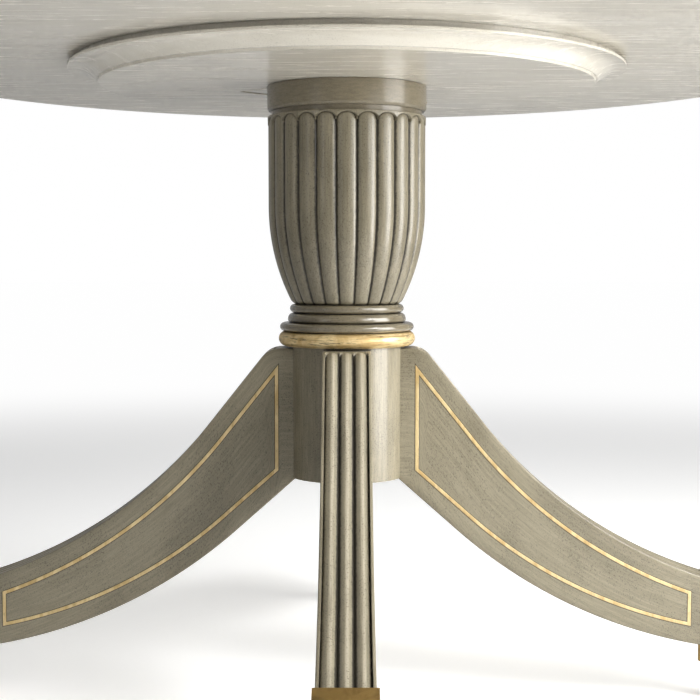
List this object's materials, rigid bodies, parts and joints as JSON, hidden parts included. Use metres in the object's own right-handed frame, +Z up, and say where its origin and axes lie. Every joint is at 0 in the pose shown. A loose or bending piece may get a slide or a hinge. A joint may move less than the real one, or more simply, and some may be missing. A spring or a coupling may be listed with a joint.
{
  "type": "tilt top table",
  "caption": "Round tilt top pedestal table: moulded top over a bearer disc, turned and reeded column, sabre legs with gilt lines, brass toe caps and castors.",
  "frame": {"origin": "on the floor, on the pedestal's axis, at the centre of the bottom of the box", "axes": "+Z up, square to the round top; the front leg points along -Y and the right leg along +X; the top tilts about a pin on the diagonal between the back and the left leg"},
  "size_m": [1.22, 1.22, 0.762],
  "materials": {
    "pale_paint": "satin brushed stone-coloured paint with dark glaze in the quirks",
    "taupe_paint": "satin taupe-grey paint with a dark speckled glaze in the grooves",
    "gilding": "worn pale gold leaf over dark bole",
    "brass": "aged satin brass",
    "steel": "plain zinc-grey steel",
    "iron": "blackened iron"
  },
  "bodies": {
    "pedestal": {"collar": "taupe_paint", "urn": "taupe_paint", "turned_rings": "taupe_paint", "gilt_ring": "gilding", "leg_block": "taupe_paint", "tie_rod": "steel", "tie_nut_upper": "steel", "tie_nut_lower": "steel", "tie_washer_upper": "steel", "tie_washer_lower": "steel", "retaining_plate": "iron", "plate_screws": "steel", "pivot_block": "pale_paint", "block_screws": "steel", "pivot_pin": "steel", "catch_keep": "brass", "toe_cap_screws": "brass", "leg_front": "taupe_paint", "gilt_lines_front": "gilding", "toe_cap_front": "brass", "leg_right": "taupe_paint", "gilt_lines_right": "gilding", "toe_cap_right": "brass", "leg_back": "taupe_paint", "gilt_lines_back": "gilding", "toe_cap_back": "brass", "leg_left": "taupe_paint", "gilt_lines_left": "gilding", "toe_cap_left": "brass"},
    "top": {"top_board": "pale_paint", "top_edge": "pale_paint", "bearer_disc": "pale_paint", "bearer_screws": "steel", "bearer_plugs": "pale_paint", "pivot_bushes": "brass", "catch_plate": "brass", "catch_guides": "brass", "catch_screws": "brass"},
    "catch": {"catch_bolt": "brass", "catch_knob": "brass"},
    "castor_front": {"castor_fork_front": "brass", "castor_axle_front": "steel"},
    "wheel_front": {"castor_wheel_front": "brass"},
    "castor_right": {"castor_fork_right": "brass", "castor_axle_right": "steel"},
    "wheel_right": {"castor_wheel_right": "brass"},
    "castor_back": {"castor_fork_back": "brass", "castor_axle_back": "steel"},
    "wheel_back": {"castor_wheel_back": "brass"},
    "castor_left": {"castor_fork_left": "brass", "castor_axle_left": "steel"},
    "wheel_left": {"castor_wheel_left": "brass"}
  },
  "joints": [
    {"name": "top_tilt", "type": "hinge", "parent": "pedestal", "child": "top", "pos_m": [-0.07495, 0.07495, 0.7187], "axis": [-0.7071, -0.7071, 0], "range_deg": [0, 80]},
    {"name": "catch_slide", "type": "slide", "parent": "top", "child": "catch", "axis": [-0.5, -0.866, 0], "range_m": [0, 0.009]},
    {"name": "swivel_front", "type": "hinge", "parent": "pedestal", "child": "castor_front", "pos_m": [0, -0.425, 0.0504], "axis": [0, 0, 1], "continuous": true},
    {"name": "roll_front", "type": "hinge", "parent": "castor_front", "child": "wheel_front", "pos_m": [0, -0.437, 0.02], "axis": [1, 0, 0], "continuous": true},
    {"name": "swivel_right", "type": "hinge", "parent": "pedestal", "child": "castor_right", "pos_m": [0.425, 0, 0.0504], "axis": [0, 0, 1], "continuous": true},
    {"name": "roll_right", "type": "hinge", "parent": "castor_right", "child": "wheel_right", "pos_m": [0.437, 0, 0.02], "axis": [0, 1, 0], "continuous": true},
    {"name": "swivel_back", "type": "hinge", "parent": "pedestal", "child": "castor_back", "pos_m": [0, 0.425, 0.0504], "axis": [0, 0, 1], "continuous": true},
    {"name": "roll_back", "type": "hinge", "parent": "castor_back", "child": "wheel_back", "pos_m": [0, 0.437, 0.02], "axis": [1, 0, 0], "continuous": true},
    {"name": "swivel_left", "type": "hinge", "parent": "pedestal", "child": "castor_left", "pos_m": [-0.425, 0, 0.0504], "axis": [0, 0, 1], "continuous": true},
    {"name": "roll_left", "type": "hinge", "parent": "castor_left", "child": "wheel_left", "pos_m": [-0.437, 0, 0.02], "axis": [0, 1, 0], "continuous": true}
  ]
}
